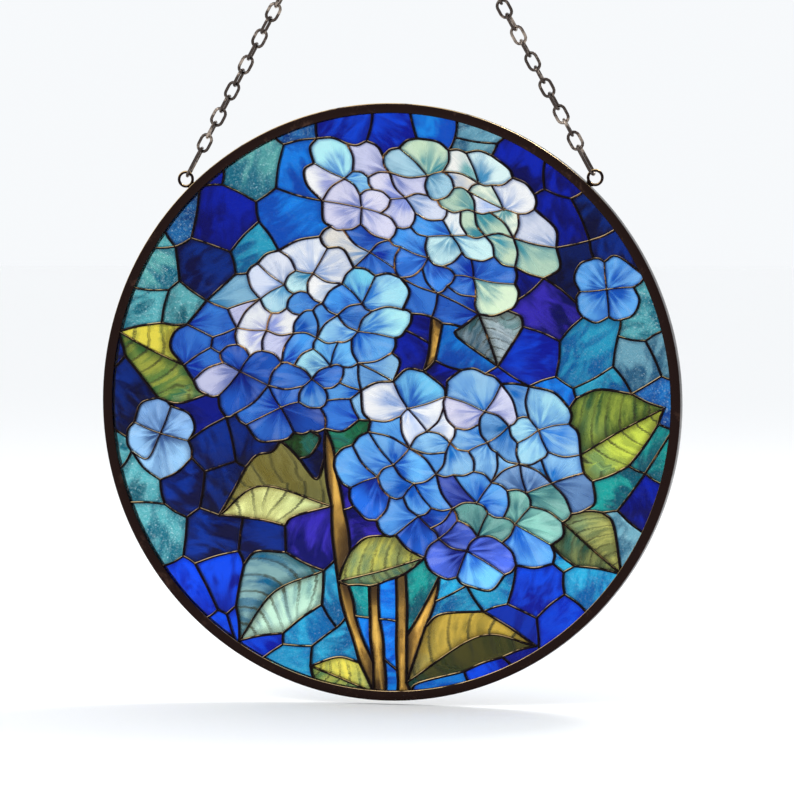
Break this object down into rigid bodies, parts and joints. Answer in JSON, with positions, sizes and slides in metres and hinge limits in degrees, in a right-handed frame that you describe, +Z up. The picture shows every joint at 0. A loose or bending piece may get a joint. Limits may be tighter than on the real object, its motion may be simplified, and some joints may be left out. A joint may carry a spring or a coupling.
{
  "type": "stained glass suncatcher",
  "caption": "Round leaded-glass panel with hydrangea heads and leaves in a metal rim, hung from a ring on link chains.",
  "frame": {"origin": "where the hook bears, at the inner top of the hanging ring", "axes": "+Z up, -Y towards the viewer of the panel's front, +X to the right seen from the front"},
  "size_m": [0.3, 0.0074, 0.4648],
  "materials": {
    "bronze_rim": "dark bronze, softly worn",
    "bronze_leading": "dark bronze patina on solder",
    "bronze_chain": "antique bronze wire",
    "petal_glass": "streaky opalescent glass",
    "leaf_glass": "streaky green glass",
    "stem_glass": "amber glass",
    "ground_glass": "rippled blue glass"
  },
  "bodies": {
    "root": {"background_01": "ground_glass", "background_02": "ground_glass", "background_03": "ground_glass", "background_04": "ground_glass", "background_05": "ground_glass", "background_06": "ground_glass", "background_07": "ground_glass", "background_08": "ground_glass", "background_09": "ground_glass", "background_10": "ground_glass", "background_11": "ground_glass", "background_12": "ground_glass", "background_13": "ground_glass", "background_14": "ground_glass", "background_15": "ground_glass", "background_16": "ground_glass", "chain_left": "bronze_chain", "chain_right": "bronze_chain", "floret_left": "petal_glass", "floret_right": "petal_glass", "frame_ring": "bronze_rim", "hanging_ring": "bronze_chain", "hydrangea_left": "petal_glass", "hydrangea_right": "petal_glass", "hydrangea_top": "petal_glass", "leading": "bronze_leading", "leaf_bottom": "leaf_glass", "leaf_centre": "leaf_glass", "leaf_edge": "leaf_glass", "leaf_hanging": "leaf_glass", "leaf_lower_left": "leaf_glass", "leaf_lower_right": "leaf_glass", "leaf_middle_left": "leaf_glass", "leaf_right": "leaf_glass", "leaf_small_left": "leaf_glass", "leaf_small_right": "leaf_glass", "leaf_upper_left": "leaf_glass", "loop_left": "bronze_rim", "loop_right": "bronze_rim", "stem_centre": "stem_glass", "stem_left": "stem_glass", "stem_left_2": "stem_glass", "stem_middle": "stem_glass", "stem_right": "stem_glass", "stem_upper": "stem_glass"}
  },
  "joints": []
}
